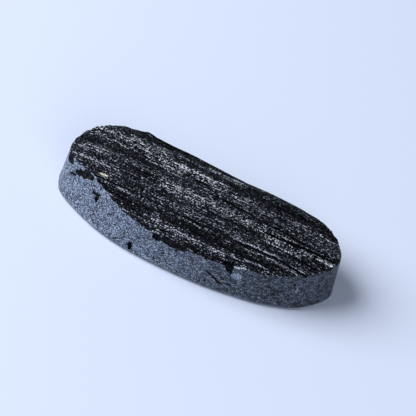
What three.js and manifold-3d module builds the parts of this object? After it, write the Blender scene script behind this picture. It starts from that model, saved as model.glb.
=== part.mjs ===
// A slab of raw black tourmaline: one free-form oblong stone, about 41 mm long.
// The top is the natural face of the crystal, ribbed along its length.
// The side wall and the base are ground flat, and a thin bevel runs round the base edge.
// Millimetres, +Z up, X along the ribs, Y to the back. The origin is under the middle of the stone.

import * as THREE from 'three';
import { mergeVertices } from 'three/addons/utils/BufferGeometryUtils.js';
import Module from 'manifold-3d';

// Driving dimensions of the ground slab
const HALF_LENGTH = 20.4;
const CREST_HEIGHT = 7.4; // the highest line of the raw face, above the base
const BEVEL_WIDTH = 0.3; // thin bevel round the base edge
const BEVEL_HEIGHT = 0.4;
const CUT_HEIGHT = 9; // the wall is made this tall, then trimmed by the raw face

// The outline of the ground wall just above the bevel, as the stone is seen from above.
// It runs anticlockwise from the right nose. The third number is how far the wall leans in
// there towards the top, in degrees.
const OUTLINE = [
  [20.4, 0, 6.5], // right nose
  [18.45, 4.75, 5],
  [14.1, 7.3, 5], // back right shoulder
  [8.2, 7.85, 5],
  [2.9, 7.9, 5.5], // the back is nearly straight
  [-1.95, 8.1, 5],
  [-7.8, 8.4, 5],
  [-14.4, 8.1, 4.5], // back left shoulder
  [-18.75, 5.2, 5],
  [-20.25, 0.65, 5], // left nose
  [-19.65, -2.8, 4.5], // the wheel left this corner square
  [-17.9, -4.95, 10.5],
  [-12.55, -7.45, 11.5], // the front is one long bow
  [-7.7, -8.55, 8.5],
  [-2.2, -8.85, 6],
  [3.35, -8.65, 6.5],
  [8.25, -7.95, 6.5],
  [13.0, -6.8, 6],
  [17.45, -4.5, 8], // front right shoulder
];
const OUTLINE_TENSION = 0.5;
const OUTLINE_STEPS = 126;

// The form of the raw face: a low barrel that falls away to all sides from a crest line
const CREST_Y = -2.3; // where the crest crosses the middle of the stone
const CREST_SKEW = 0.118; // how far the crest moves back for each millimetre to the right
const END_FALL = 1.25; // from the middle of the crest to each end
const END_POWER = 4;
const FRONT_REACH = -8.8;
const FRONT_FALL = 3.0;
const FRONT_POWER = 2.2;
const BACK_REACH = 8.7;
const BACK_FALL = 2.3;
const BACK_POWER = 2.5;

// Ribs of the raw face. Each layer has a length and a breadth for one rib, and its relief.
const RIB_LAYERS = [
  { long: 15, broad: 1.35, relief: 0.34, seed: 3 },
  { long: 8, broad: 0.56, relief: 0.26, seed: 11 },
];

// Ledges: lines on the raw face, in front of which the face lies lower by the drop
const LEDGES = [
  { from: [-16.5, -5.5], to: [17.5, -4.1], drop: 0.34, breadth: 0.3 },
  { from: [-19.5, 3.7], to: [-4.6, 1.3], drop: 0.2, breadth: 0.34 },
  { from: [-5.5, 3.1], to: [5.5, 2.9], drop: 0.16, breadth: 0.3 },
  { from: [-9.5, -2.1], to: [8.5, -2.3], drop: 0.14, breadth: 0.34 },
  { from: [1.0, 0.4], to: [14.5, 0.2], drop: 0.12, breadth: 0.3 },
];
const LEDGE_FADE = 1.6; // a ledge or a split runs out over this length at each end
const LEDGE_HEAL = 3; // in front of a ledge the drop heals over about this distance

// Splits: narrow grooves along the ribs
const SPLITS = [
  { from: [9.0, -1.1], to: [19.8, 0.15], depth: 0.42, halfBreadth: 0.25 },
  { from: [-13.0, -5.1], to: [-2.5, -5.35], depth: 0.3, halfBreadth: 0.25 },
  { from: [-19.6, 3.95], to: [-15.5, 3.4], depth: 0.26, halfBreadth: 0.22 },
  { from: [-2.6, 2.2], to: [-0.9, 2.2], depth: 0.3, halfBreadth: 0.22 },
  { from: [-19.0, -2.6], to: [-9.0, -2.8], depth: 0.16, halfBreadth: 0.22 },
  { from: [2.0, -5.6], to: [13.5, -5.0], depth: 0.2, halfBreadth: 0.25 },
];

// Swells: broad places where the raw face stands higher, or lower, than the barrel
const SWELLS = [
  { at: [-13.4, 7.4], half: [7.4, 2.6], rise: 0.46 }, // back left shoulder
  { at: [-11.8, 8.1], half: [1.5, 1.2], rise: 0.3 }, // knob on the back left rim
  { at: [3.6, 7.8], half: [4.0, 1.6], rise: -0.12 }, // the back rim sags a little here
];

// Bites: lumps broken out of the rim and the wall. Place, half sizes, and turn about the vertical.
const BITES = [
  { at: [-0.5, -8.4, 4.85], half: [1.75, 0.6, 0.5], turn: 2 }, // gouge under the front rim
  { at: [-3.45, -8.4, 4.75], half: [0.5, 0.4, 0.5], turn: -4 }, // small gouge left of it
  { at: [6.95, -7.6, 4.85], half: [0.55, 0.65, 0.8], turn: 20 }, // notch beside the pale spot
  { at: [-13.6, -6.3, 5.0], half: [0.9, 0.42, 0.5], turn: -24 }, // chip in the front left wall
  { at: [-16.8, -4.65, 5.35], half: [0.65, 0.38, 0.4], turn: -36 }, // chip at the front left corner
  { at: [-6.45, -8.58, 1.25], half: [0.3, 0.36, 0.5], turn: 0 }, // nick low in the front wall
  { at: [-18.5, 4.8, 6.1], half: [0.5, 0.5, 0.45], turn: 30 }, // nick in the back left rim
  { at: [-14.6, 7.8, 5.8], half: [1.1, 0.5, 0.42], turn: 4 }, // step in the back rim
  { at: [13.4, 7.0, 5.3], half: [0.45, 0.45, 0.35], turn: -10 }, // nick in the back right rim
  { at: [3.6, 7.6, 5.2], half: [1.4, 0.45, 0.36], turn: 0 }, // chip in the back rim
];
const BITE_LOBE = 0.22; // how uneven a bite is
const BITE_SEED = 5;

// The cells of the raw face
const CELL_LONG = 0.86;
const CELL_BROAD = 0.26;
const FACE_MARGIN = 1; // the raw face is made this much wider than the wall, before trimming

const STONE_COLOUR = 0x24262c;
const STONE_ROUGHNESS = 0.5;

// The steady picks that place the ribs: a pace for each number, and how widely the wave is spread
const PICK_PACE = [127.1, 311.7, 74.7];
const PICK_SPREAD = 43758.5453;

// A steady pick between 0 and 1 for two whole numbers
function pick(i, j, seed) {
  const wave = Math.sin(i * PICK_PACE[0] + j * PICK_PACE[1] + seed * PICK_PACE[2]) * PICK_SPREAD;
  return wave - Math.floor(wave);
}

function ease(t) {
  const held = Math.min(1, Math.max(0, t));
  return held * held * (3 - 2 * held);
}

// Smooth lumps between -0.5 and 0.5, each long in X and broad in Y
function lumps(x, y, long, broad, seed) {
  const u = x / long + pick(seed, 0, 0);
  const v = y / broad + pick(0, seed, 0);
  const i = Math.floor(u);
  const j = Math.floor(v);
  const s = ease(u - i);
  const t = ease(v - j);
  const front = pick(i, j, seed) * (1 - s) + pick(i + 1, j, seed) * s;
  const back = pick(i, j + 1, seed) * (1 - s) + pick(i + 1, j + 1, seed) * s;
  return front * (1 - t) + back * t - 0.5;
}

// How far a point is behind a line, and how much the line counts there
function alongLine(line, x, y) {
  const run = line.to[0] - line.from[0];
  const share = (x - line.from[0]) / run;
  const lineY = line.from[1] + (line.to[1] - line.from[1]) * share;
  const inFromEnd = Math.min(x - line.from[0], line.to[0] - x);
  return { behind: y - lineY, weight: ease(inFromEnd / LEDGE_FADE + 0.5) };
}

// The height of the raw face above the base
function rawHeight(x, y) {
  const crestY = CREST_Y + CREST_SKEW * x;
  const inFront = Math.max(0, (crestY - y) / (crestY - FRONT_REACH));
  const behind = Math.max(0, (y - crestY) / (BACK_REACH - crestY));
  let z = CREST_HEIGHT - END_FALL * Math.abs(x / HALF_LENGTH) ** END_POWER;
  z -= FRONT_FALL * inFront ** FRONT_POWER;
  z -= BACK_FALL * behind ** BACK_POWER;
  for (const layer of RIB_LAYERS) {
    z += layer.relief * lumps(x, y, layer.long, layer.broad, layer.seed);
  }
  for (const ledge of LEDGES) {
    const { behind: gap, weight } = alongLine(ledge, x, y);
    const healed = Math.exp(Math.min(0, gap) / LEDGE_HEAL);
    z -= ledge.drop * weight * healed * (1 - ease(gap / ledge.breadth + 0.5));
  }
  for (const split of SPLITS) {
    const { behind: gap, weight } = alongLine(split, x, y);
    z -= split.depth * weight * Math.exp(-((gap / split.halfBreadth) ** 2));
  }
  for (const swell of SWELLS) {
    const away = Math.hypot((x - swell.at[0]) / swell.half[0], (y - swell.at[1]) / swell.half[1]);
    z += swell.rise * (1 - ease(away));
  }
  return z;
}

// The outline as points, with the outward direction at each and the wall's inset for one
// millimetre of height. The curve carries the lean as its third coordinate.
function outlinePoints() {
  const knots = OUTLINE.map(([x, y, lean]) => new THREE.Vector3(x, y, lean));
  const curve = new THREE.CatmullRomCurve3(knots, true, 'catmullrom', OUTLINE_TENSION);
  const points = [];
  for (let k = 0; k < OUTLINE_STEPS; k += 1) {
    const at = curve.getPoint(k / OUTLINE_STEPS);
    const along = curve.getTangent(k / OUTLINE_STEPS);
    const run = Math.hypot(along.x, along.y);
    points.push({
      x: at.x,
      y: at.y,
      outX: along.y / run,
      outY: -along.x / run,
      inset: Math.tan(THREE.MathUtils.degToRad(at.z)),
    });
  }
  return points;
}

// The ground wall as a closed body: rings from the base up, with a flat cap at each end
function wallGeometry() {
  const outline = outlinePoints();
  const rings = [
    { z: 0, insetOf: () => BEVEL_WIDTH },
    { z: BEVEL_HEIGHT, insetOf: () => 0 },
    { z: CUT_HEIGHT, insetOf: (p) => p.inset * (CUT_HEIGHT - BEVEL_HEIGHT) },
  ];
  const position = [];
  for (const ring of rings) {
    for (const p of outline) {
      const inset = ring.insetOf(p);
      position.push(p.x - p.outX * inset, p.y - p.outY * inset, ring.z);
    }
  }
  const n = outline.length;
  const bottomMiddle = position.length / 3;
  position.push(0, 0, 0);
  const topMiddle = bottomMiddle + 1;
  position.push(0, 0, CUT_HEIGHT);
  const index = [];
  for (let k = 0; k < n; k += 1) {
    const next = (k + 1) % n;
    for (let ring = 0; ring < rings.length - 1; ring += 1) {
      const low = ring * n;
      const high = low + n;
      index.push(low + k, low + next, high + next);
      index.push(low + k, high + next, high + k);
    }
    const last = (rings.length - 1) * n;
    index.push(bottomMiddle, next, k);
    index.push(topMiddle, last + k, last + next);
  }
  return closedGeometry(position, index);
}

// A block whose top is the raw face and whose flat bottom is below the base
function rawBlockGeometry() {
  const reachX = HALF_LENGTH + FACE_MARGIN;
  const reachY = BACK_REACH + FACE_MARGIN;
  const columns = Math.ceil((2 * reachX) / CELL_LONG);
  const rows = Math.ceil((2 * reachY) / CELL_BROAD);
  const position = [];
  for (const isTop of [true, false]) {
    for (let j = 0; j <= rows; j += 1) {
      for (let i = 0; i <= columns; i += 1) {
        const x = -reachX + (2 * reachX * i) / columns;
        const y = -reachY + (2 * reachY * j) / rows;
        position.push(x, y, isTop ? rawHeight(x, y) : -FACE_MARGIN);
      }
    }
  }
  const across = columns + 1;
  const below = across * (rows + 1);
  const index = [];
  for (let j = 0; j < rows; j += 1) {
    for (let i = 0; i < columns; i += 1) {
      const a = j * across + i;
      const b = a + 1;
      const c = b + across;
      const d = a + across;
      index.push(a, b, c, a, c, d);
      index.push(below + a, below + c, below + b, below + a, below + d, below + c);
    }
  }
  const skirt = (p, q) => {
    index.push(p, below + q, q, p, below + p, below + q);
  };
  for (let i = 0; i < columns; i += 1) {
    skirt(i, i + 1);
    skirt(rows * across + i + 1, rows * across + i);
  }
  for (let j = 0; j < rows; j += 1) {
    skirt((j + 1) * across, j * across);
    skirt(j * across + columns, (j + 1) * across + columns);
  }
  return closedGeometry(position, index);
}

// An uneven lump that is cut away, with flat facets as a break in tourmaline has
function biteGeometry(bite, number) {
  const lump = new THREE.IcosahedronGeometry(1, 1);
  lump.deleteAttribute('normal');
  lump.deleteAttribute('uv');
  const geometry = mergeVertices(lump);
  const place = geometry.getAttribute('position');
  for (let k = 0; k < place.count; k += 1) {
    const swell = 1 + BITE_LOBE * (pick(k, number, BITE_SEED) - 0.5) * 2;
    place.setXYZ(k, place.getX(k) * swell, place.getY(k) * swell, place.getZ(k) * swell);
  }
  geometry.scale(...bite.half);
  geometry.rotateZ(THREE.MathUtils.degToRad(bite.turn));
  geometry.translate(...bite.at);
  return geometry;
}

function closedGeometry(position, index) {
  const geometry = new THREE.BufferGeometry();
  geometry.setAttribute('position', new THREE.Float32BufferAttribute(position, 3));
  geometry.setIndex(index);
  return mergeVertices(geometry);
}

const wasm = await Module();
wasm.setup();

function solidFrom(geometry) {
  const vertProperties = new Float32Array(geometry.getAttribute('position').array);
  const triVerts = new Uint32Array(geometry.getIndex().array);
  return new wasm.Manifold(new wasm.Mesh({ numProp: 3, vertProperties, triVerts }));
}

function geometryFrom(solid) {
  const mesh = solid.getMesh();
  const geometry = new THREE.BufferGeometry();
  geometry.setAttribute('position', new THREE.BufferAttribute(new Float32Array(mesh.vertProperties), 3));
  geometry.setIndex(new THREE.BufferAttribute(new Uint32Array(mesh.triVerts), 1));
  return geometry;
}

// The whole stone: the wall trimmed by the raw face, less the bites
function stoneGeometry() {
  let solid = solidFrom(wallGeometry()).intersect(solidFrom(rawBlockGeometry()));
  BITES.forEach((bite, number) => {
    solid = solid.subtract(solidFrom(biteGeometry(bite, number)));
  });
  const geometry = geometryFrom(solid);
  geometry.computeBoundingBox();
  const middle = geometry.boundingBox.getCenter(new THREE.Vector3());
  geometry.translate(-middle.x, -middle.y, -geometry.boundingBox.min.z);
  geometry.computeVertexNormals();
  return geometry;
}

const stone = new THREE.Mesh(
  stoneGeometry(),
  new THREE.MeshStandardMaterial({
    color: STONE_COLOUR,
    roughness: STONE_ROUGHNESS,
    metalness: 0,
    flatShading: true,
  }),
);
stone.name = 'tourmaline_crystal';

const part = new THREE.Group();
part.add(stone);

export default part;
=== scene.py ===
# A slab of raw black tourmaline, about 41 mm long: a ribbed natural crystal face on top,
# a side wall ground on a wheel, and a flat ground base that it rests on.
# The stone's lengths are in millimetres. They become metres where it is put together.
import math

import bmesh
import bpy
import numpy as np
from mathutils import Matrix, Vector, noise


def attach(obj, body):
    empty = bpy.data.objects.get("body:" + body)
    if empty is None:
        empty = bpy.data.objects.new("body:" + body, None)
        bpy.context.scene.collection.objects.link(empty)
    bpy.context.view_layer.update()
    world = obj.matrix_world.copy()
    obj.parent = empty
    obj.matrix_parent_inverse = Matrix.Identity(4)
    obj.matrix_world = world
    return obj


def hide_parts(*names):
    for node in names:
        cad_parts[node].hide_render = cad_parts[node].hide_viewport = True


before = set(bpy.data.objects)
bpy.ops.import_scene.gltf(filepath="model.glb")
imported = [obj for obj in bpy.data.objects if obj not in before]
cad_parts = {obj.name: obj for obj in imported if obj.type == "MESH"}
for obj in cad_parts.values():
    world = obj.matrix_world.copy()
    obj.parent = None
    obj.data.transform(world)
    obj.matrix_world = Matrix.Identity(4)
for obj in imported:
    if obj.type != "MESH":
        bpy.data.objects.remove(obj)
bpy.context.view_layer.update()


# The ground slab
# The rough crystal was sawn to an oblong, and its side wall was ground by hand on a wheel.
# The wall leans in a little towards the top. A thin bevel takes the sharpness off the base edge.
# Grinding leaves black tourmaline a matt grey, with dark pits where grains tore out. The blue and paleness
# of the wall's colours are partly a painted reflection of the pale bluish room.
BEVEL_WIDTH = 0.3
BEVEL_HEIGHT = 0.4
# The slab is sawn higher than the stone, and the raw face trims it
CUT_HEIGHT = 9
# The outline above the bevel, anticlockwise: X, Y, and how far the wall leans in there, in degrees
OUTLINE = [
    (20.4, 0, 6.5),  # right nose
    (18.45, 4.75, 5),
    (14.1, 7.3, 5),  # back right shoulder
    (8.2, 7.85, 5),
    (2.9, 7.9, 5.5),  # the back is nearly straight
    (-1.95, 8.1, 5),
    (-7.8, 8.4, 5),
    (-14.4, 8.1, 4.5),  # back left shoulder
    (-18.75, 5.2, 5),
    (-20.25, 0.65, 5),  # left nose
    (-19.65, -2.8, 4.5),  # the wheel left this corner square
    (-17.9, -4.95, 10.5),
    (-12.55, -7.45, 11.5),  # the front is one long bow
    (-7.7, -8.55, 8.5),
    (-2.2, -8.85, 6),
    (3.35, -8.65, 6.5),
    (8.25, -7.95, 6.5),
    (13.0, -6.8, 6),
    (17.45, -4.5, 8),  # front right shoulder
]
OUTLINE_TENSION = 0.5
# How finely the wall is divided, round the stone and up it
WALL_COLUMNS = 700
WALL_ROWS = 46
# Hand grinding leaves the wall slightly uneven: how long each swell is, and how deep.
# The swells come in over a short height above the bevel.
WALL_SWELLS = [(5.0, 0.05), (1.1, 0.024), (0.42, 0.02)]
SWELL_SEED = 17.3
SWELLS_START = 0.5

# The grain of the ground face, and the broad patches in it. Here and below, a detail says how
# many finer layers a grain has, and how much each of them counts.
GROUND_GRAIN_STRETCH = (1.3, 1.3, 1)
GROUND_GRAIN_PER_MM = 6.8
GROUND_GRAIN_DETAIL = (2, 0.6)
GROUND_PATCH_PER_MM = 1.1
GROUND_PATCH_DETAIL = (4, 0.7)
GROUND_PATCH_WEIGHT = 0.2
# From where to where the grain turns dark to middle to pale, and the patches turn blue
GROUND_TO_MIDDLE = (0.44, 0.49)
GROUND_TO_PALE = (0.515, 0.575)
GROUND_TO_BLUE = (0.50, 0.66)
GROUND_BLUE_SHARE = 0.32
# Single dark specks: how many there are, and how soft their edge is
SPECKS_PER_MM = 1.9
SPECK_EDGE = (0.08, 0.15)
# The right end of the wall is painted darker. This is mostly painted shade, where the wall turns away from
# the lamp, and partly a darker tone of the stone there. From and to in X, and the share of the colour left
# there
PAINTED_SHADE_SPAN = (-9.0, 14.5)
PAINTED_SHADE_SHARE = 0.49
# It has short dark scratches too
SCRATCH_STRETCH = (2.0, 2.0, 1)
SCRATCHES_PER_MM = 2.2
SCRATCH_DETAIL = (3, 0.7)
SCRATCH_EDGE = (0.51, 0.56)
SCRATCH_SHARE = 0.85
# The gloss changes with the grain: over which part of the grain, and from smoothest to roughest
GLOSS_GRAIN = (0.3, 0.7)
GROUND_GLOSS = (0.44, 0.64)
GROUND_SPECULAR = 0.2
# How deep the grain is
GROUND_DEPTH = 0.08

# The bluish tint of these wall colours is partly painted reflection of the pale room
GROUND_DARK = (0.016, 0.020, 0.031, 1)
GROUND_MIDDLE = (0.091, 0.113, 0.164, 1)
GROUND_PALE = (0.345, 0.41, 0.53, 1)
GROUND_BLUE = (0.075, 0.13, 0.24, 1)
PIT_COLOUR = (0.008, 0.009, 0.012, 1)
BLACK = (0, 0, 0, 1)
PALE_FOOT = (0.13, 0.145, 0.18, 1)


def slab_outline(steps):
    """Points of the closed outline, the outward direction at each, and the wall's inset for one
    millimetre of height."""
    knots = np.array(OUTLINE, float)
    place = np.arange(steps) * len(knots) / steps
    knot = np.floor(place).astype(int)
    t = (place - knot)[:, None]
    before, start, end, after = (knots[(knot + k) % len(knots)] for k in (-1, 0, 1, 2))
    pull_out = OUTLINE_TENSION * (end - before)
    pull_in = OUTLINE_TENSION * (after - start)
    cubic = 2 * (start - end) + pull_out + pull_in
    square = 3 * (end - start) - 2 * pull_out - pull_in
    points = start + t * (pull_out + t * (square + t * cubic))
    along = (pull_out + t * (2 * square + 3 * t * cubic))[:, :2]
    along /= np.linalg.norm(along, axis=1)[:, None]
    outward = np.stack([along[:, 1], -along[:, 0]], axis=1)
    return points[:, :2], outward, np.tan(np.radians(points[:, 2]))


def cloud(x, y, z, seed):
    """Smooth steady noise between about -1 and 1, one value for each point."""
    return np.array([noise.noise((a, b, c + seed)) for a, b, c in zip(x, y, z)])


def ease(t):
    """Goes smoothly from 0 to 1 as t does, and stays there."""
    held = np.clip(t, 0, 1)
    return held * held * (3 - 2 * held)


def new_solid(name, points, triangles, material):
    mesh = bpy.data.meshes.new(name)
    mesh.from_pydata(points.tolist(), [], triangles.tolist())
    mesh.materials.append(material)
    solid = bpy.data.objects.new(name, mesh)
    bpy.context.scene.collection.objects.link(solid)
    return solid


def new_material(name):
    """A material, its node tree and its shader."""
    material = bpy.data.materials.new(name)
    material.use_nodes = True
    tree = material.node_tree
    return material, tree, tree.nodes["Principled BSDF"]


MM_PER_M = 1000


def stone_space(tree, stretch=(1, 1, 1)):
    """The place on the stone in millimetres, for a pattern that is stretched along the axes."""
    place = tree.nodes.new("ShaderNodeTexCoord")
    mapping = tree.nodes.new("ShaderNodeMapping")
    mapping.inputs["Scale"].default_value = [MM_PER_M / s for s in stretch]
    tree.links.new(place.outputs["Object"], mapping.inputs["Vector"])
    return mapping.outputs["Vector"]


def cloud_node(tree, space, scale, detail, rough):
    node = tree.nodes.new("ShaderNodeTexNoise")
    node.inputs["Scale"].default_value = scale
    node.inputs["Detail"].default_value = detail
    node.inputs["Roughness"].default_value = rough
    tree.links.new(space, node.inputs["Vector"])
    return node.outputs["Fac"]


def cells_node(tree, space, scale, metric="EUCLIDEAN"):
    node = tree.nodes.new("ShaderNodeTexVoronoi")
    node.distance = metric
    node.inputs["Scale"].default_value = scale
    tree.links.new(space, node.inputs["Vector"])
    return node.outputs["Distance"]


def sum_node(tree, operation, first, second):
    node = tree.nodes.new("ShaderNodeMath")
    node.operation = operation
    for socket, value in zip(node.inputs, (first, second)):
        if isinstance(value, (int, float)):
            socket.default_value = value
        else:
            tree.links.new(value, socket)
    return node.outputs[0]


def weighed_node(tree, *parts):
    """The sum of several values, each times its weight."""
    total = 0.0
    for value, weight in parts:
        total = sum_node(tree, "ADD", total, sum_node(tree, "MULTIPLY", value, weight))
    return total


def step_node(tree, value, low, high, to_low=0.0, to_high=1.0):
    """Goes smoothly from to_low to to_high as value goes from low to high."""
    node = tree.nodes.new("ShaderNodeMapRange")
    node.interpolation_type = "SMOOTHSTEP"
    for name, number in (("From Min", low), ("From Max", high), ("To Min", to_low), ("To Max", to_high)):
        node.inputs[name].default_value = number
    tree.links.new(value, node.inputs["Value"])
    return node.outputs["Result"]


def mix_node(tree, share, first, second):
    node = tree.nodes.new("ShaderNodeMix")
    node.data_type = "RGBA"
    tree.links.new(share, node.inputs["Factor"])
    for name, value in (("A", first), ("B", second)):
        socket = next(s for s in node.inputs if s.name == name and s.type == "RGBA")
        if isinstance(value, tuple):
            socket.default_value = value
        else:
            tree.links.new(value, socket)
    return next(s for s in node.outputs if s.type == "RGBA")


def mark_node(tree, name):
    """A share that is stored at the stone's points, by name."""
    node = tree.nodes.new("ShaderNodeAttribute")
    node.attribute_name = name
    return node.outputs["Fac"]


def bump_node(tree, shader, height, depth):
    node = tree.nodes.new("ShaderNodeBump")
    node.inputs["Distance"].default_value = depth / MM_PER_M
    tree.links.new(height, node.inputs["Height"])
    tree.links.new(node.outputs["Normal"], shader.inputs["Normal"])


def along_stone(tree, axis):
    """How far a place is along one axis of the stone, in millimetres."""
    node = tree.nodes.new("ShaderNodeSeparateXYZ")
    tree.links.new(stone_space(tree), node.inputs["Vector"])
    return node.outputs[axis]


# Other minerals grew in the crystal as small grains. Each kind has its own colour, and the
# least share of it that shows, which is where the black stone grew through the grain.
GRAIN_KINDS = {
    "cream": ((0.80, 0.76, 0.56, 1), 0.9),
    "white": ((0.66, 0.68, 0.75, 1), 0.06),
    "pale_blue": ((0.28, 0.35, 0.48, 1), 0.2),
    "brown": ((0.22, 0.165, 0.085, 1), 0.4),
}
# The ragged edge of a grain, and how it fades out there
GRAIN_EDGE_PER_MM = 5.0
GRAIN_EDGE_DETAIL = (2, 0.5)
GRAIN_EDGE = (0.22, 0.36)
GRAIN_RAGGED = 0.9
GRAIN_FADE = (0.02, 0.2)
# Inside it the colour comes and goes
GRAIN_SHOW_PER_MM = 5.5
GRAIN_SHOW_DETAIL = (3, 0.6)
GRAIN_SHOW = (0.46, 0.53)


def with_grains(tree, colour):
    """The colour with the mineral grains laid over it, each with a ragged edge."""
    ragged = cloud_node(tree, stone_space(tree), GRAIN_EDGE_PER_MM, *GRAIN_EDGE_DETAIL)
    mottle = cloud_node(tree, stone_space(tree), GRAIN_SHOW_PER_MM, *GRAIN_SHOW_DETAIL)
    for name, (grain_colour, least) in GRAIN_KINDS.items():
        mark = mark_node(tree, name)
        reach = weighed_node(tree, (mark, 1.0), (ragged, GRAIN_RAGGED), (1.0, -GRAIN_RAGGED / 2))
        inside = step_node(tree, reach, *GRAIN_EDGE)
        inside = sum_node(tree, "MULTIPLY", inside, step_node(tree, mark, *GRAIN_FADE))
        shown = step_node(tree, mottle, *GRAIN_SHOW, least, 1)
        colour = mix_node(tree, sum_node(tree, "MULTIPLY", inside, shown), colour, grain_colour)
    return colour


def ground_finish():
    material, tree, shader = new_material("ground_tourmaline")
    space = stone_space(tree)
    grain_space = stone_space(tree, GROUND_GRAIN_STRETCH)
    grain = cloud_node(tree, grain_space, GROUND_GRAIN_PER_MM, *GROUND_GRAIN_DETAIL)
    patches = cloud_node(tree, space, GROUND_PATCH_PER_MM, *GROUND_PATCH_DETAIL)
    grain = weighed_node(tree, (grain, 1 - GROUND_PATCH_WEIGHT), (patches, GROUND_PATCH_WEIGHT))
    colour = mix_node(tree, step_node(tree, grain, *GROUND_TO_MIDDLE), GROUND_DARK, GROUND_MIDDLE)
    colour = mix_node(tree, step_node(tree, grain, *GROUND_TO_PALE), colour, GROUND_PALE)
    blue = step_node(tree, patches, *GROUND_TO_BLUE, 0, GROUND_BLUE_SHARE)
    colour = mix_node(tree, blue, colour, GROUND_BLUE)
    # Painted shade: the wall's colour is darkened towards its right end
    painted_shade = step_node(tree, along_stone(tree, "X"), *PAINTED_SHADE_SPAN, 1, PAINTED_SHADE_SHARE)
    colour = mix_node(tree, painted_shade, BLACK, colour)
    scratch_space = stone_space(tree, SCRATCH_STRETCH)
    scratches = cloud_node(tree, scratch_space, SCRATCHES_PER_MM, *SCRATCH_DETAIL)
    scratched = step_node(tree, scratches, *SCRATCH_EDGE, 0, SCRATCH_SHARE)
    at_shaded_end = step_node(tree, along_stone(tree, "X"), *PAINTED_SHADE_SPAN)
    colour = mix_node(tree, sum_node(tree, "MULTIPLY", scratched, at_shaded_end), colour, PIT_COLOUR)
    specks = step_node(tree, cells_node(tree, space, SPECKS_PER_MM), *SPECK_EDGE, 1, 0)
    colour = mix_node(tree, specks, colour, PIT_COLOUR)
    colour = mix_node(tree, mark_node(tree, "pale_foot"), colour, PALE_FOOT)
    tree.links.new(with_grains(tree, colour), shader.inputs["Base Color"])
    tree.links.new(step_node(tree, grain, *GLOSS_GRAIN, *GROUND_GLOSS), shader.inputs["Roughness"])
    shader.inputs["Specular IOR Level"].default_value = GROUND_SPECULAR
    bump_node(tree, shader, grain, GROUND_DEPTH)
    return material


def slab_solid():
    """The ground slab as a closed body, with its bevel, its lean and its swells."""
    outline, outward, inset = slab_outline(WALL_COLUMNS)
    rings = [np.column_stack([outline - outward * BEVEL_WIDTH, np.zeros(WALL_COLUMNS)])]
    for height in np.linspace(BEVEL_HEIGHT, CUT_HEIGHT, WALL_ROWS):
        ring = outline - outward * (inset * (height - BEVEL_HEIGHT))[:, None]
        z = np.full(WALL_COLUMNS, height)
        hollow = np.zeros(WALL_COLUMNS)
        for number, (size, depth) in enumerate(WALL_SWELLS):
            hollow -= depth * (1 + cloud(*(ring / size).T, z / size, number * SWELL_SEED)) / 2
        hollow *= ease((height - BEVEL_HEIGHT) / SWELLS_START)
        rings.append(np.column_stack([ring + outward * hollow[:, None], z]))
    points = np.concatenate(rings + [[[0, 0, 0]], [[0, 0, CUT_HEIGHT]]])
    column = np.arange(WALL_COLUMNS)
    beside = (column + 1) % WALL_COLUMNS
    triangles = []
    for step in range(len(rings) - 1):
        low = step * WALL_COLUMNS
        high = low + WALL_COLUMNS
        triangles.append(np.column_stack([low + column, low + beside, high + beside]))
        triangles.append(np.column_stack([low + column, high + beside, high + column]))
    last = (len(rings) - 1) * WALL_COLUMNS
    bottom_middle = np.full(WALL_COLUMNS, len(rings) * WALL_COLUMNS)
    top_middle = bottom_middle + 1
    triangles.append(np.column_stack([bottom_middle, beside, column]))
    triangles.append(np.column_stack([top_middle, last + column, last + beside]))
    return new_solid("slab_blank", points, np.concatenate(triangles), ground_finish())


slab = slab_solid()


# The raw face
# The top of the slab is the crystal's own side, as it grew: a low barrel of fine ribs that
# run the length of the crystal, with ledges and splits along them and crumbled, paler bands.

# The barrel: its crest runs a little askew, and it falls to both ends, the front and the back
HALF_LENGTH = 20.4
CREST_HEIGHT = 7.4
CREST_Y = -2.3
CREST_SKEW = 0.118
END_FALL = 1.25
END_POWER = 4
FRONT_REACH = -8.8
FRONT_FALL = 3.0
FRONT_POWER = 2.2
BACK_REACH = 8.7
BACK_FALL = 2.3
BACK_POWER = 2.5
# Main ribs: how long and broad one is, its relief, and its own number for the picks
RIB_LAYERS = [(15, 1.35, 0.34, 3), (8, 0.56, 0.26, 11)]
# Ledges: from, to, how much lower the face lies in front, and how broad the edge is
LEDGES = [
    ((-16.5, -5.5), (17.5, -4.1), 0.34, 0.3),
    ((-19.5, 3.7), (-4.6, 1.3), 0.2, 0.34),
    ((-5.5, 3.1), (5.5, 2.9), 0.16, 0.3),
    ((-9.5, -2.1), (8.5, -2.3), 0.14, 0.34),
    ((1.0, 0.4), (14.5, 0.2), 0.12, 0.3),
]
# In front of a ledge the face rises back over this distance
LEDGE_HEAL = 3
# A ledge or a split fades out over this length at its ends
LEDGE_FADE = 1.6
# Splits: from, to, depth, half breadth
SPLITS = [
    ((9.0, -1.1), (19.8, 0.15), 0.42, 0.25),
    ((-13.0, -5.1), (-2.5, -5.35), 0.3, 0.25),
    ((-19.6, 3.95), (-15.5, 3.4), 0.26, 0.22),
    ((-2.6, 2.2), (-0.9, 2.2), 0.3, 0.22),
    ((-19.0, -2.6), (-9.0, -2.8), 0.16, 0.22),
    ((2.0, -5.6), (13.5, -5.0), 0.2, 0.25),
]
# Swells, where the face stands higher or lower than the barrel: place, half sizes, rise
SWELLS = [
    ((-13.4, 7.4), (7.4, 2.6), 0.46),  # back left shoulder
    ((-11.8, 8.1), (1.5, 1.2), 0.3),  # knob on the back left rim
    ((3.6, 7.8), (4.0, 1.6), -0.12),  # the back rim sags a little here
]
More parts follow.
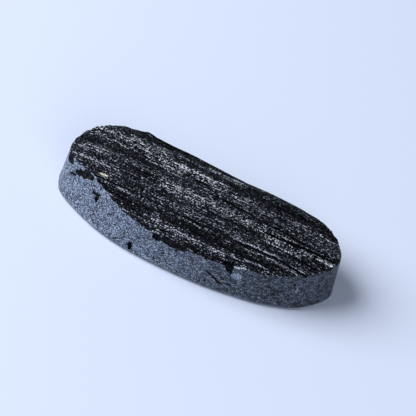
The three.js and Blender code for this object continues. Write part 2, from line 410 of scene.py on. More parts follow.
# Crumbled bands: from, to, half breadth, and how crumbled and pale each is
PALE_BANDS = [
    ((-19.0, 4.7), (-9.5, 4.5), 0.95, 0.85),
    ((-11.0, 4.9), (-7.0, 4.6), 0.9, 0.9),
    ((-13.0, 3.1), (-7.0, 2.3), 0.5, 0.45),
    ((-9.0, 3.1), (-5.0, 2.6), 0.8, 1.0),
    ((-6.0, 3.5), (2.0, 3.3), 0.35, 0.8),
    ((-4.0, 2.9), (5.5, 2.5), 0.4, 0.5),
    ((-7.9, -1.0), (0.5, -1.0), 0.55, 0.85),
    ((-7.0, -1.9), (-1.0, -1.9), 0.35, 0.8),
    ((-1.0, -0.9), (6.5, -0.9), 0.65, 0.85),
    ((5.5, -1.0), (10.5, -1.3), 0.7, 0.9),
    ((9.0, -1.9), (15.5, -1.7), 0.6, 1.0),
    ((14.0, -1.0), (19.8, -0.6), 0.4, 1.0),
    ((-6.5, -7.0), (3.0, -7.0), 0.36, 0.5),
    ((-1.0, -7.0), (6.0, -6.9), 0.35, 0.5),
    ((-19.0, -0.3), (-14.5, -0.4), 0.3, 0.5),
    ((-11.0, -6.7), (-6.0, -7.0), 0.3, 0.15),
    ((12.0, 3.1), (19.0, 3.0), 0.45, 0.5),
]
# Here and below, a band or a line fades out over this length at its ends
BAND_FADE = 2.0
# Smooth, darker bands: from, to, half breadth, and how smooth each is
SMOOTH_BANDS = [
    ((-14.5, -5.9), (5.0, -5.6), 0.5, 1.0),  # shelf in front of the long ledge
    ((-15.5, -5.0), (-8.0, -6.6), 0.5, 0.8),
    ((1.0, -5.4), (14.5, -5.3), 0.4, 1.0),
    ((-15.0, 6.6), (-11.0, 6.6), 0.8, 0.8),  # strip along the back
    ((-12.0, 7.3), (13.0, 6.9), 0.9, 0.9),
    ((-7.5, 4.9), (0.0, 4.8), 0.5, 1.0),
    ((0.0, 4.5), (18.0, 4.6), 0.75, 1.0),
    ((4.0, 5.8), (17.0, 5.2), 0.9, 0.8),
    ((-19.0, 1.8), (-6.0, 1.3), 0.7, 0.6),
    ((-16.5, -1.7), (-7.5, -1.4), 0.5, 0.6),
    ((-9.0, 0.9), (18.0, 0.9), 0.35, 0.4),
    ((-6.0, -3.4), (6.0, -2.9), 0.5, 0.4),
    ((0.0, -7.6), (7.5, -7.5), 0.25, 0.9),
]
# Painted highlights along long edges of ribs, where they catch the lamp: from, to, half breadth, and how
# bright each is
PAINTED_HIGHLIGHTS = [
    ((0.0, -4.8), (7.0, -4.45), 0.07, 0.7),
    ((5.5, -4.4), (16.0, -4.05), 0.09, 1.0),
    ((-8.0, -4.95), (1.0, -4.75), 0.06, 0.7),
    ((7.0, -4.8), (15.5, -4.55), 0.07, 0.7),
    ((-16.0, -5.35), (-8.0, -5.15), 0.06, 0.5),
    ((5.4, -6.5), (8.1, -6.25), 0.09, 1.0),
    ((8.0, -6.1), (12.5, -5.9), 0.07, 0.7),
    ((-18.5, 3.95), (-14.5, 3.5), 0.07, 0.8),
    ((-12.0, 3.9), (-9.3, 3.4), 0.08, 0.9),
    ((-15.5, 3.1), (-9.0, 2.0), 0.06, 0.6),
    ((-9.5, 2.0), (-4.5, 1.5), 0.08, 0.9),
    ((-6.5, 3.6), (1.5, 3.5), 0.07, 0.8),
    ((-8.0, 5.8), (3.0, 5.7), 0.07, 0.7),
    ((-19.5, 0.15), (-11.0, 0.1), 0.06, 0.6),
    ((-19.5, -0.6), (-15.0, -0.6), 0.07, 0.8),
    ((-19.0, -2.45), (-12.0, -2.75), 0.07, 0.9),
    ((-6.0, -0.6), (0.0, -0.5), 0.06, 0.6),
    ((-6.5, -1.6), (-0.5, -1.6), 0.06, 0.7),
    ((-6.5, -6.75), (0.0, -6.7), 0.07, 0.6),
    ((0.0, -6.75), (5.0, -6.6), 0.07, 0.6),
    ((9.0, -2.65), (15.0, -2.5), 0.07, 0.7),
    ((10.5, -0.6), (19.5, 0.15), 0.07, 0.8),
    ((14.5, -1.3), (19.3, -0.95), 0.08, 0.8),
    ((0.0, 2.15), (8.0, 2.2), 0.06, 0.6),
    ((15.0, 3.3), (18.8, 3.2), 0.08, 0.6),
]
# Painted shade in fine dark lines, where the ribs part: from, to, half breadth, and how dark each is
SHADED_GROOVES = [
    ((-16.0, -5.15), (17.0, -4.2), 0.07, 1.0),
    ((-18.0, 3.75), (-11.0, 3.2), 0.1, 0.8),
    ((-15.0, 2.7), (-8.0, 2.3), 0.08, 0.6),
    ((-3.0, 4.0), (5.0, 3.9), 0.08, 0.7),
    ((-2.2, 2.35), (-0.8, 2.35), 0.16, 1.0),
    ((0.0, 0.75), (6.5, 0.65), 0.09, 0.8),
    ((6.5, 0.3), (16.0, 0.1), 0.08, 0.8),
    ((9.0, -1.0), (19.5, 0.1), 0.16, 1.0),
    ((-12.0, -0.85), (-7.0, -0.8), 0.09, 0.8),
    ((-19.0, -3.7), (-8.0, -3.8), 0.06, 0.5),
    ((0.0, -2.2), (9.0, -2.3), 0.08, 0.7),
    ((9.0, -2.9), (17.0, -2.7), 0.08, 0.7),
    ((13.0, 1.8), (19.0, 1.75), 0.07, 0.6),
    ((0.0, -6.0), (12.0, -5.8), 0.07, 0.8),
    ((-6.0, -2.7), (2.0, -2.6), 0.07, 0.5),
]
# Fine relief: how long and broad one fine rib is, and how much it stands up
FINE_RIBS = [(9.0, 0.34, 0.15), (3.0, 0.2, 0.11)]
FINE_RIB_SEED = 20.5
# Terraces: long low steps along the ribs, how many up and down, how high, and how steep at the edge
TERRACE_LONG = 15
TERRACE_BROAD = 0.8
TERRACE_COUNT = 3
TERRACE_DROP = 0.09
TERRACE_EDGE = 3
TERRACE_SEED = 30.5
# The ribs wander from side to side
WANDER = 0.14
WANDER_LENGTH = 7
WANDER_SEED = 1.7
# Crumbs, and the least share of them outside the crumbled bands
CRUMB_LONG = 0.46
CRUMB_BROAD = 0.25
CRUMB_RELIEF = 0.34
CRUMB_LEAST = 0.2
CRUMB_SEED = 40.5
# One cell of the mesh, and how far the block reaches past the stone
CELL_LONG = 0.13
CELL_BROAD = 0.085
FACE_MARGIN = 1

# The striae, the ribs and the grain of the raw face, and how much each counts
STRIA_STRETCH = (30, 1, 1)
STRIA_PER_MM = 8.0
STRIA_DETAIL = (2, 0.6)
STRIA_WEIGHT = 0.26
RIB_STRETCH = (9, 1, 1)
RIB_PER_MM = 8.0
RIB_DETAIL = (3, 0.6)
RIB_WEIGHT = 0.20
GRAIN_STRETCH = (1.8, 1, 1)
GRAIN_PER_MM = 7.6
GRAIN_DETAIL = (0, 0.5)
GRAIN_WEIGHT = 0.33
# How much paler or darker the bands, the lines and the height of a place make it. The bright rib edges are
# painted highlights, the dark lines painted shade, and the height paints light on the ridges and shade in
# the hollows
CRUMBLED_LIFT = 0.034
HIGHLIGHT_LIFT = 0.12
SMOOTH_LIFT = -0.038
GROOVE_SHADE_LIFT = -0.16
RELIEF_LIGHT_SHADE_LIFT = 0.07
# From where to where it turns black to grey to pale. The pale flecks are painted glints of the facets, and
# in the crumbled bands partly the crumbs' own paler colour
RAW_TO_GREY = (0.35, 0.44)
RAW_TO_PALE = (0.45, 0.495)
# The gloss, from smoothest to roughest
RAW_GLOSS = (0.38, 0.52)
RAW_IOR = 1.3
RAW_SPECULAR = 0.06
# Small flat facets, and how deep they and the grain are
FACET_STRETCH = (2.2, 1, 1)
FACETS_PER_MM = 3.0
FACET_WEIGHT = 0.35
RAW_DEPTH = 0.34

RAW_BLACK = (0.0016, 0.0018, 0.0026, 1)
RAW_GREY = (0.026, 0.029, 0.039, 1)
# The pale flecks: painted glints, and in the crumbled bands the crumbs' paler colour with painted glint
PALE_GLINT = (0.45, 0.485, 0.58, 1)
CRUMB_PALE = (0.84, 0.89, 0.98, 1)

# How fast the picks change, and how widely they scatter
PICK_PACE = (127.1, 311.7, 74.7)
PICK_SPREAD = 43758.5453


def pick(i, j, seed):
    """A steady pick between 0 and 1 for two whole numbers."""
    wave = np.sin(i * PICK_PACE[0] + j * PICK_PACE[1] + seed * PICK_PACE[2]) * PICK_SPREAD
    return wave - np.floor(wave)


def lumps(x, y, long, broad, seed):
    """Smooth lumps between -0.5 and 0.5, each long in X and broad in Y."""
    u = x / long + pick(seed, 0, 0)
    v = y / broad + pick(0, seed, 0)
    i = np.floor(u)
    j = np.floor(v)
    s = ease(u - i)
    t = ease(v - j)
    front = pick(i, j, seed) * (1 - s) + pick(i + 1, j, seed) * s
    back = pick(i, j + 1, seed) * (1 - s) + pick(i + 1, j + 1, seed) * s
    return front * (1 - t) + back * t - 0.5


def along_line(start, end, x, y, fade):
    """How far a point is behind a line, and how much the line counts there."""
    share = (x - start[0]) / (end[0] - start[0])
    line_y = start[1] + (end[1] - start[1]) * share
    in_from_end = np.minimum(x - start[0], end[0] - x)
    return y - line_y, ease(in_from_end / fade + 0.5)


def raw_form(x, y):
    """The height of the raw face, as the solid has it."""
    crest_y = CREST_Y + CREST_SKEW * x
    in_front = np.maximum(0, (crest_y - y) / (crest_y - FRONT_REACH))
    behind = np.maximum(0, (y - crest_y) / (BACK_REACH - crest_y))
    z = CREST_HEIGHT - END_FALL * np.abs(x / HALF_LENGTH) ** END_POWER
    z -= FRONT_FALL * in_front**FRONT_POWER
    z -= BACK_FALL * behind**BACK_POWER
    for long, broad, relief, seed in RIB_LAYERS:
        z += relief * lumps(x, y, long, broad, seed)
    for start, end, drop, breadth in LEDGES:
        gap, weight = along_line(start, end, x, y, LEDGE_FADE)
        healed = np.exp(np.minimum(0, gap) / LEDGE_HEAL)
        z -= drop * weight * healed * (1 - ease(gap / breadth + 0.5))
    for start, end, depth, half_breadth in SPLITS:
        gap, weight = along_line(start, end, x, y, LEDGE_FADE)
        z -= depth * weight * np.exp(-((gap / half_breadth) ** 2))
    for middle, half, rise in SWELLS:
        away = np.hypot((x - middle[0]) / half[0], (y - middle[1]) / half[1])
        z += rise * (1 - ease(away))
    return z


def band_share(bands, x, y):
    """How much a point lies in any of the bands, from 0 to 1."""
    share = np.zeros_like(x)
    for start, end, half_breadth, strength in bands:
        gap, weight = along_line(start, end, x, y, BAND_FADE)
        share = np.maximum(share, strength * weight * np.exp(-((gap / half_breadth) ** 2)))
    return share


def wandered(x, y):
    """The ribs are not quite straight: they wander a little from side to side."""
    return y + WANDER * cloud(x / WANDER_LENGTH, y / WANDER_LENGTH, np.zeros_like(x), WANDER_SEED)


def fine_relief(x, y):
    """The fine ribs, the terraces and the crumbs, above or below the main form."""
    still = np.zeros_like(x)
    across = wandered(x, y)
    relief = np.zeros_like(x)
    for number, (long, broad, height) in enumerate(FINE_RIBS):
        relief += height * cloud(x / long, across / broad, still, FINE_RIB_SEED + number)
    level = TERRACE_COUNT * cloud(x / TERRACE_LONG, across / TERRACE_BROAD, still, TERRACE_SEED)
    within = level - np.floor(level) - 0.5
    relief += TERRACE_DROP * (np.floor(level) + ease(within * TERRACE_EDGE + 0.5))
    crumb = cloud(x / CRUMB_LONG, across / CRUMB_BROAD, still, CRUMB_SEED)
    crumbled = band_share(PALE_BANDS, x, y)
    smooth = band_share(SMOOTH_BANDS, x, y)
    crumb *= CRUMB_RELIEF * (CRUMB_LEAST + (1 - CRUMB_LEAST) * crumbled)
    return relief * (1 - smooth / 2) + crumb * (1 - smooth)


def raw_finish():
    material, tree, shader = new_material("raw_tourmaline")
    striae = cloud_node(tree, stone_space(tree, STRIA_STRETCH), STRIA_PER_MM, *STRIA_DETAIL)
    ribs = cloud_node(tree, stone_space(tree, RIB_STRETCH), RIB_PER_MM, *RIB_DETAIL)
    grain = cloud_node(tree, stone_space(tree, GRAIN_STRETCH), GRAIN_PER_MM, *GRAIN_DETAIL)
    texture = weighed_node(tree, (striae, STRIA_WEIGHT), (ribs, RIB_WEIGHT), (grain, GRAIN_WEIGHT))
    crumbled = mark_node(tree, "crumbled")
    lift = weighed_node(
        tree,
        (texture, 1.0),
        (crumbled, CRUMBLED_LIFT),
        (mark_node(tree, "painted_highlight"), HIGHLIGHT_LIFT),
        (mark_node(tree, "smooth"), SMOOTH_LIFT),
        (mark_node(tree, "painted_groove_shade"), GROOVE_SHADE_LIFT),
        (mark_node(tree, "height"), RELIEF_LIGHT_SHADE_LIFT),
    )
    # The pale flecks are painted glints, and in the crumbled bands partly the crumbs' paler colour
    colour = mix_node(tree, step_node(tree, lift, *RAW_TO_GREY), RAW_BLACK, RAW_GREY)
    pale = mix_node(tree, crumbled, PALE_GLINT, CRUMB_PALE)
    colour = mix_node(tree, step_node(tree, lift, *RAW_TO_PALE), colour, pale)
    tree.links.new(with_grains(tree, colour), shader.inputs["Base Color"])
    tree.links.new(step_node(tree, grain, *GLOSS_GRAIN, *RAW_GLOSS), shader.inputs["Roughness"])
    shader.inputs["Specular IOR Level"].default_value = RAW_SPECULAR
    shader.inputs["IOR"].default_value = RAW_IOR
    facets = cells_node(tree, stone_space(tree, FACET_STRETCH), FACETS_PER_MM, "MANHATTAN")
    bump_node(tree, shader, weighed_node(tree, (texture, 1.0), (facets, FACET_WEIGHT)), RAW_DEPTH)
    return material


# The corners of a square, anticlockwise
SQUARE = ((-1, -1), (1, -1), (1, 1), (-1, 1))


def raw_block():
    """A block whose top is the raw face and whose flat bottom is below the base."""
    reach_x = HALF_LENGTH + FACE_MARGIN
    reach_y = BACK_REACH + FACE_MARGIN
    columns = math.ceil(2 * reach_x / CELL_LONG)
    rows = math.ceil(2 * reach_y / CELL_BROAD)
    row_places = np.linspace(-reach_y, reach_y, rows + 1)
    column_places = np.linspace(-reach_x, reach_x, columns + 1)
    y, x = (grid.ravel() for grid in np.meshgrid(row_places, column_places, indexing="ij"))
    top = np.column_stack([x, y, raw_form(x, y) + fine_relief(x, y)])
    bottom_corners = np.array([(a * reach_x, b * reach_y, -FACE_MARGIN) for a, b in SQUARE])
    across = columns + 1
    a = (np.arange(rows)[:, None] * across + np.arange(columns)[None, :]).ravel()
    top_faces = np.concatenate(
        [np.column_stack([a, a + 1, a + 1 + across]), np.column_stack([a, a + 1 + across, a + across])]
    )
    front = np.arange(across)
    right = np.arange(rows + 1) * across + columns
    back = (rows * across + np.arange(across))[::-1]
    left = (np.arange(rows + 1) * across)[::-1]
    first_corner = len(top)
    side_faces = []
    for number, edge in enumerate((front, right, back, left)):
        foot = first_corner + number
        next_foot = first_corner + (number + 1) % len(SQUARE)
        feet = np.full(len(edge) - 1, foot)
        side_faces.append(np.column_stack([feet, edge[1:], edge[:-1]]))
        side_faces.append(np.array([[foot, next_foot, edge[-1]]]))
    c = first_corner
    side_faces.append(np.array([[c, c + 2, c + 1], [c, c + 3, c + 2]]))
    points = np.concatenate([top, bottom_corners])
    return new_solid("raw_block", points, np.concatenate([top_faces] + side_faces), raw_finish())


raw = raw_block()


# The breaks
# Lumps have broken out of the rim and the wall, some while the crystal was sawn and some on
# the wheel. Tourmaline breaks unevenly, so each hollow is rough, dark and a little glassy.

# The larger breaks: place of the middle, half sizes, and turn about the vertical in degrees
BITES = [
    ((-0.5, -8.4, 4.85), (1.75, 0.6, 0.5), 2),  # gouge under the front rim
    ((-3.45, -8.4, 4.75), (0.5, 0.4, 0.5), -4),  # small gouge left of it
    ((6.95, -7.6, 4.85), (0.55, 0.65, 0.8), 20),  # notch beside the pale spot
    ((-13.6, -6.3, 5.0), (0.9, 0.42, 0.5), -24),  # chip in the front left wall
    ((-16.8, -4.65, 5.35), (0.65, 0.38, 0.4), -36),  # chip at the front left corner
    ((-6.45, -8.58, 1.25), (0.3, 0.36, 0.5), 0),  # nick low in the front wall
    ((-18.5, 4.8, 6.1), (0.5, 0.5, 0.45), 30),  # nick in the back left rim
    ((-14.6, 7.8, 5.8), (1.1, 0.5, 0.42), 4),  # step in the back rim
    ((13.4, 7.0, 5.3), (0.45, 0.45, 0.35), -10),  # nick in the back right rim
    ((3.6, 7.6, 5.2), (1.4, 0.45, 0.36), 0),  # chip in the back rim
]
# Small breaks and cracks: place, half sizes, turn, and how far the right end is raised, in degrees
NICKS = [
    ((-17.5, -4.35, 4.6), (0.75, 0.26, 0.16), -38, 22),  # tails of the corner chip
    ((-16.2, -4.85, 5.9), (0.7, 0.36, 0.55), -28, 0),
    ((-15.3, -5.1, 6.4), (0.95, 0.36, 0.65), -28, 0),
    ((-18.85, -3.15, 6.0), (0.95, 0.34, 0.65), -50, 0),  # flake off the square corner
    ((-14.45, -5.9, 4.75), (0.5, 0.26, 0.2), -24, 14),  # tails of the chip beside it
    ((-13.1, -6.4, 4.35), (0.25, 0.26, 0.5), -24, 0),
    ((-10.55, -7.45, 3.8), (0.22, 0.18, 0.17), -13, 0),
    ((-11.92, -7.4, 2.14), (0.18, 0.16, 0.16), -13, 0),
    ((-9.41, -7.93, 2.96), (0.2, 0.16, 0.15), -11, 0),
    ((-5.5, -8.55, 2.62), (0.16, 0.14, 0.22), -4, 0),
    ((-7.9, -8.4, 1.6), (1.2, 0.14, 0.09), -10, 33),  # fine crack
    ((-6.4, -8.5, 0.95), (0.2, 0.3, 0.3), 0, 0),
    ((4.8, -8.34, 2.8), (0.8, 0.24, 0.18), 7, -24),  # ragged crack in the front wall
    ((5.6, -8.28, 2.3), (0.6, 0.24, 0.16), 7, -6),
    ((6.15, -8.2, 1.9), (0.6, 0.24, 0.24), 9, -30),
    ((7.4, -8.05, 2.1), (0.9, 0.26, 0.18), 9, -12),
    ((6.7, -8.12, 2.6), (0.5, 0.2, 0.12), 9, -16),
    ((11.79, -6.75, 5.07), (0.26, 0.2, 0.24), 14, 0),
    ((10.36, -7.17, 4.41), (0.16, 0.14, 0.13), 14, 0),
    ((12.84, -6.57, 3.52), (0.34, 0.16, 0.14), 15, 10),
    ((13.87, -6.24, 2.96), (0.34, 0.16, 0.16), 20, 0),
    ((15.45, -5.56, 2.55), (0.3, 0.16, 0.14), 27, 0),
    ((10.8, -7.14, 3.43), (1.2, 0.1, 0.06), 14, 21),  # fine crack
    ((7.35, -7.75, 4.15), (0.24, 0.3, 0.35), 12, 0),  # foot of the notch
    ((6.4, -7.6, 5.2), (0.35, 0.35, 0.25), 10, 0),
    ((3.5, 7.56, 5.6), (1.25, 0.3, 0.4), 0, 0),  # the chip in the back rim runs up to the edge
]
# How often each ball is divided before it is made uneven
BITE_DIVISIONS = 5
NICK_DIVISIONS = 3
# A break is bounded by flat facets: how many, how far out they may lie, and how far one turns
# from the last. A facet seen from its side doesn't bound it.
BITE_FACETS = 12
BITE_FACET_REACH = (0.75, 1.3)
GOLDEN_TURN = (math.sqrt(5) - 1) / 2
LEAST_FACING = 0.05
# The rows of picks for the facets' turns and for how far out they lie
TURN_PICK = 3
REACH_PICK = 7
# How coarse and how strong the grain of a break is, and how its seed goes from break to break
BITE_GRAIN_SIZE = 0.3
BITE_GRAIN = 0.3
BITE_SEED_PACE = 5.3
BITE_SEED_START = 1.1
# Tiny pits all round the wall, where single grains tore out: how large, and between what heights
PIT_COUNT = 110
PIT_SIZE = (0.06, 0.17)
PIT_LOW = 0.8
PIT_HIGH = 5.0
PIT_DIVISIONS = 2
# The row of picks for the pits, and its picks for where a pit is, how high, how large and how long
PIT_PICK = 2
PIT_PLACE = 1
PIT_RISE = 2
PIT_GIRTH = 3
PIT_LENGTH = 4

# The finish of a fresh break: its facets, its grain, and from where to where it turns grey
BREAK_FACETS_PER_MM = 3.2
BREAK_GRAIN_PER_MM = 6
BREAK_GRAIN_DETAIL = (3, 0.6)
BREAK_TO_GREY = (0.46, 0.62)
BREAK_DEPTH = 0.16
BREAK_BLACK = (0.0016, 0.0018, 0.0026, 1)
BREAK_GREY = (0.032, 0.035, 0.045, 1)


def break_finish():
    material, tree, shader = new_material("broken_tourmaline")
    facets = cells_node(tree, stone_space(tree, FACET_STRETCH), BREAK_FACETS_PER_MM, "MANHATTAN")
    grain = cloud_node(tree, stone_space(tree), BREAK_GRAIN_PER_MM, *BREAK_GRAIN_DETAIL)
    colour = mix_node(tree, step_node(tree, grain, *BREAK_TO_GREY), BREAK_BLACK, BREAK_GREY)
    tree.links.new(with_grains(tree, colour), shader.inputs["Base Color"])
    tree.links.new(step_node(tree, grain, *GLOSS_GRAIN, *RAW_GLOSS), shader.inputs["Roughness"])
    shader.inputs["Specular IOR Level"].default_value = RAW_SPECULAR
    shader.inputs["IOR"].default_value = RAW_IOR
    bump_node(tree, shader, facets, BREAK_DEPTH)
    return material


def ball(divisions):
    """The points and triangles of a round ball of radius 1."""
    cage = bmesh.new()
    bmesh.ops.create_icosphere(cage, subdivisions=divisions, radius=1)
    points = np.array([v.co for v in cage.verts])
    triangles = np.array([[v.index for v in face.verts] for face in cage.faces])
    cage.free()
    return points, triangles


def lump(number, middle, half, turn, tilt, divisions):
    """An uneven lump with flat facets, to be cut out of the stone."""
    directions, triangles = ball(divisions)
    steps = np.arange(BITE_FACETS)
    height = 1 - 2 * (steps + 0.5) / BITE_FACETS
    around = 2 * math.pi * (pick(steps, number, TURN_PICK) + steps * GOLDEN_TURN)
    ring = np.sqrt(1 - height**2)
    facets = np.column_stack([ring * np.cos(around), ring * np.sin(around), height])
    near, far = BITE_FACET_REACH
    reach = near + (far - near) * pick(steps, number, REACH_PICK)
    facing = np.maximum(directions @ facets.T, LEAST_FACING)
    swell = np.minimum((reach / facing).min(axis=1), far)
    seed = BITE_SEED_PACE * number + BITE_SEED_START
    swell *= 1 + BITE_GRAIN * cloud(*(directions / BITE_GRAIN_SIZE).T, seed)
    points = directions * swell[:, None] * np.array(half)
    tilted = Matrix.Rotation(math.radians(-tilt), 3, "Y")
    turned = Matrix.Rotation(math.radians(turn), 3, "Z")
    return points @ np.array(turned @ tilted).T + np.array(middle), triangles


def pit_lumps():
    """The tiny lumps for all the pits as one body: they lie apart, all round the wall."""
    outline, outward, inset = slab_outline(WALL_COLUMNS)
    smallest, largest = PIT_SIZE
    points = []
    triangles = []
    count = 0
    for number in range(PIT_COUNT):
        column = int((number + pick(number, PIT_PLACE, PIT_PICK) / 2) * WALL_COLUMNS / PIT_COUNT)
        height = PIT_LOW + (PIT_HIGH - PIT_LOW) * pick(number, PIT_RISE, PIT_PICK)
        size = smallest + (largest - smallest) * pick(number, PIT_GIRTH, PIT_PICK) ** 2
        ring = outline[column] - outward[column] * inset[column] * (height - BEVEL_HEIGHT)
        half = (size * (1 + pick(number, PIT_LENGTH, PIT_PICK)), size, size)
        turn = math.degrees(math.atan2(outward[column][0], -outward[column][1]))
        middle = (*ring, height)
        lump_points, lump_triangles = lump(number, middle, half, turn, tilt=0, divisions=PIT_DIVISIONS)
        points.append(lump_points)
        triangles.append(lump_triangles + count)
        count += len(lump_points)
    return np.concatenate(points), np.concatenate(triangles)


broken = break_finish()
breaks = [new_solid("pits", *pit_lumps(), broken)]
for number, bite in enumerate(BITES):
    form = lump(number, *bite, tilt=0, divisions=BITE_DIVISIONS)
    breaks.append(new_solid(f"bite_{number}", *form, broken))
for number, nick in enumerate(NICKS):
    form = lump(number, *nick, divisions=NICK_DIVISIONS)
    breaks.append(new_solid(f"nick_{number}", *form, broken))


# The stone
# One piece of natural tourmaline: the slab trimmed by the raw face, less the breaks.
# It rests on its flat base. It stands for the plain solid of the same form.

# Edges sharper than this stay crisp
SHARP_EDGE_DEG = 50
# The foot of the wall is paler. The paleness fades over this height, starting at this share of it.
PALE_FOOT_HEIGHT = 0.55
PALE_FOOT_START = 0.3
# Grains of other minerals: kind, place, half sizes, and turn about the vertical in degrees
GRAINS = [
    ("cream", (-13.5, -4.25, 6.8), (0.8, 0.34, 1.0), 4),
    ("white", (7.85, -7.45, 5.2), (0.55, 0.4, 0.3), 20),
    ("white", (8.7, -7.2, 5.35), (0.85, 0.35, 0.24), 24),
    ("white", (-3.7, -7.95, 5.4), (0.95, 0.2, 0.6), 8),
    ("pale_blue", (8.3, -7.6, 3.8), (0.95, 0.6, 0.75), 8),
    ("white", (8.5, -7.6, 4.2), (0.4, 0.5, 0.3), 8),
    ("pale_blue", (16.2, -4.9, 3.6), (0.16, 0.4, 1.1), 27),
    ("pale_blue", (-7.0, 2.2, 7.3), (0.3, 0.14, 0.6), 0),
    ("pale_blue", (-6.0, 2.15, 7.3), (0.24, 0.12, 0.6), 0),
    ("pale_blue", (-3.7, -8.8, 0.8), (0.9, 0.4, 0.24), 0),
    ("pale_blue", (-12.6, -7.2, 3.4), (0.6, 0.4, 0.4), -20),
    ("pale_blue", (-9.2, -8.0, 2.0), (0.35, 0.4, 0.3), -10),
    ("pale_blue", (-5.2, -8.6, 1.6), (0.9, 0.4, 0.2), -5),
    ("pale_blue", (-18.6, -3.6, 3.2), (0.3, 0.4, 0.5), -50),
    ("pale_blue", (-13.7, -6.9, 3.3), (0.5, 0.4, 0.3), -20),
    ("brown", (6.8, -8.1, 2.3), (0.45, 0.4, 0.2), 9),
    ("brown", (5.0, -8.3, 2.2), (0.3, 0.4, 0.14), 9),
]


def trimmed(solid, tools):
    """The solid after the cuts, as one mesh with each cut face in its own finish."""
    for operation, tool in tools:
        cut = solid.modifiers.new(tool.name, "BOOLEAN")
        cut.operation = operation
        cut.object = tool
        cut.solver = "MANIFOLD"
        cut.material_mode = "TRANSFER"
    view = bpy.context.evaluated_depsgraph_get()
    return bpy.data.meshes.new_from_object(solid.evaluated_get(view))


def set_mark(mesh, name, shares):
    mesh.attributes.new(name, "FLOAT", "POINT").data.foreach_set("value", shares.astype(np.float32))


def grain_share(kind, places):
    """How far each place is inside a grain of one kind: 1 in its middle, 0 at its edge."""
    share = np.zeros(len(places))
    for of_kind, middle, half, turn in GRAINS:
        if of_kind == kind:
            back = np.array(Matrix.Rotation(math.radians(turn), 3, "Z"))
            away = np.linalg.norm((places - np.array(middle)) @ back / np.array(half), axis=1)
            share = np.maximum(share, 1 - np.minimum(away, 1))
    return share


stone_mesh = trimmed(slab, [("DIFFERENCE", lump_tool) for lump_tool in breaks] + [("INTERSECT", raw)])
for tool in (slab, raw, *breaks):
    bpy.data.objects.remove(tool)
places = np.zeros(len(stone_mesh.vertices) * 3)
stone_mesh.vertices.foreach_get("co", places)
places = places.reshape(-1, 3)
place_x, place_y, place_z = places.T
rib_y = wandered(place_x, place_y)
set_mark(stone_mesh, "crumbled", band_share(PALE_BANDS, place_x, place_y))
set_mark(stone_mesh, "smooth", band_share(SMOOTH_BANDS, place_x, place_y))
# Painted shade in the grooves where the ribs part
set_mark(stone_mesh, "painted_groove_shade", band_share(SHADED_GROOVES, place_x, rib_y))
# Painted highlights along the rib edges
set_mark(stone_mesh, "painted_highlight", band_share(PAINTED_HIGHLIGHTS, place_x, rib_y))
# Painted light and shade from the relief: higher places are made paler, hollows darker
set_mark(stone_mesh, "height", fine_relief(place_x, place_y))
set_mark(stone_mesh, "pale_foot", 1 - ease(place_z / PALE_FOOT_HEIGHT - PALE_FOOT_START))
for kind in GRAIN_KINDS:
    set_mark(stone_mesh, kind, grain_share(kind, places))
outline_points = slab_outline(WALL_COLUMNS)[0]
outline_middle = (outline_points.min(axis=0) + outline_points.max(axis=0)) / 2
places[:, :2] -= outline_middle
stone_mesh.vertices.foreach_set("co", (places / MM_PER_M).ravel())
stone_mesh.shade_smooth()
stone_mesh.set_sharp_from_angle(angle=math.radians(SHARP_EDGE_DEG))
stone_mesh.name = "tourmaline_stone"
stone = bpy.data.objects.new("tourmaline_stone", stone_mesh)
bpy.context.scene.collection.objects.link(stone)
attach(stone, "root")
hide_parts("tourmaline_crystal")


# The floor
# A plain matt sheet, pale with a cool tint. The stone lies flat on it.
# Its half breadth is in metres, so it reaches far past the stone on every side.
FLOOR_HALF = 0.9
FLOOR_ROUGHNESS = 0.9
FLOOR_SPECULAR = 0.1
FLOOR_COLOUR = (0.735, 0.805, 0.985, 1)

floor_mesh = bpy.data.meshes.new("floor")
floor_corners = [(a * FLOOR_HALF, b * FLOOR_HALF, 0) for a, b in SQUARE]
floor_mesh.from_pydata(floor_corners, [], [range(len(SQUARE))])
paper, _, paper_shader = new_material("pale_sheet")
paper_shader.inputs["Base Color"].default_value = FLOOR_COLOUR
paper_shader.inputs["Roughness"].default_value = FLOOR_ROUGHNESS
paper_shader.inputs["Specular IOR Level"].default_value = FLOOR_SPECULAR
floor_mesh.materials.append(paper)
floor = bpy.data.objects.new("floor", floor_mesh)
bpy.context.scene.collection.objects.link(floor)


# The light
# A large soft lamp stands to the left, so the shadow falls to the right. A weaker one in front
# fills the shadows. Round about is a pale wall, and the ceiling is darker.

# Each lamp: its direction from the stone, how far off and how broad it is in metres, and its power
LAMPS = [
    ("soft_lamp", (-0.76, -0.12, 0.62), 0.7, 0.62, 6.9),
    ("fill_lamp", (0.45, -0.75, 0.5), 0.8, 0.6, 1.7),
]
LAMP_COLOUR = (0.97, 0.985, 1.0)
ROOM_COLOUR = (0.80, 0.87, 1.0, 1)
CEILING_COLOUR = (0.085, 0.095, 0.12, 1)
# From where to where the wall turns into the ceiling, as the rise of the view
CEILING_FROM = (0.08, 0.42)
ROOM_STRENGTH = 0.9

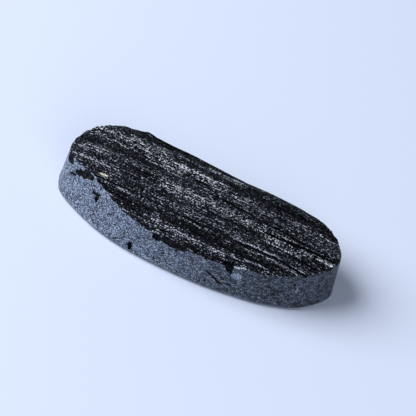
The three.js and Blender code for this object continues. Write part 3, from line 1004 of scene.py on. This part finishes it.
for lamp_name, direction, distance, size, power in LAMPS:
    lamp_data = bpy.data.lights.new(lamp_name, "AREA")
    lamp_data.shape = "DISK"
    lamp_data.size = size
    lamp_data.energy = power
    lamp_data.color = LAMP_COLOUR
    lamp = bpy.data.objects.new(lamp_name, lamp_data)
    lamp.location = Vector(direction).normalized() * distance
    lamp.rotation_mode = "QUATERNION"
    lamp.rotation_quaternion = Vector(direction).to_track_quat("Z", "Y")
    bpy.context.scene.collection.objects.link(lamp)
room = bpy.data.worlds.new("pale_room")
room.use_nodes = True
room_tree = room.node_tree
outlook = room_tree.nodes.new("ShaderNodeTexCoord")
upward = room_tree.nodes.new("ShaderNodeSeparateXYZ")
room_tree.links.new(outlook.outputs["Generated"], upward.inputs["Vector"])
above = step_node(room_tree, upward.outputs["Z"], *CEILING_FROM)
room_colour = mix_node(room_tree, above, ROOM_COLOUR, CEILING_COLOUR)
room_tree.links.new(room_colour, room_tree.nodes["Background"].inputs["Color"])
room_tree.nodes["Background"].inputs["Strength"].default_value = ROOM_STRENGTH
bpy.context.scene.world = room
bpy.context.scene.view_settings.view_transform = "Standard"


# The camera
# A long lens from the front, looking down at 45 degrees and rolled, so the stone lies across
# the picture from upper left to lower right.
CAMERA_AZIMUTH_DEG = 7.5
CAMERA_ELEVATION_DEG = 45
CAMERA_ROLL_DEG = 20.2
# In the stone's millimetres, with X and Y as in its outline
CAMERA_PLACE = Vector((21.607, -159.787, 166.619))
CAMERA_FIELD_DEG = 14
CAMERA_SENSOR_WIDTH = 36
# The nearest and the farthest that it sees, in metres
CAMERA_NEAR = 0.01
CAMERA_FAR = 10

azimuth = math.radians(CAMERA_AZIMUTH_DEG)
elevation = math.radians(CAMERA_ELEVATION_DEG)
roll = math.radians(CAMERA_ROLL_DEG)
level_right = Vector((math.cos(azimuth), math.sin(azimuth), 0))
backward = Vector(
    (math.sin(azimuth) * math.cos(elevation), -math.cos(azimuth) * math.cos(elevation), math.sin(elevation))
)
level_up = backward.cross(level_right)
camera_right = level_right * math.cos(roll) + level_up * math.sin(roll)
camera_up = level_up * math.cos(roll) - level_right * math.sin(roll)
camera_data = bpy.data.cameras.new("camera")
camera_data.sensor_width = CAMERA_SENSOR_WIDTH
camera_data.angle = math.radians(CAMERA_FIELD_DEG)
camera_data.clip_start = CAMERA_NEAR
camera_data.clip_end = CAMERA_FAR
camera = bpy.data.objects.new("camera", camera_data)
camera_turn = Matrix((camera_right, camera_up, backward)).transposed().to_4x4()
camera_place = (CAMERA_PLACE - Vector((*outline_middle, 0))) / MM_PER_M
camera.matrix_world = Matrix.Translation(camera_place) @ camera_turn
bpy.context.scene.collection.objects.link(camera)
bpy.context.scene.camera = camera
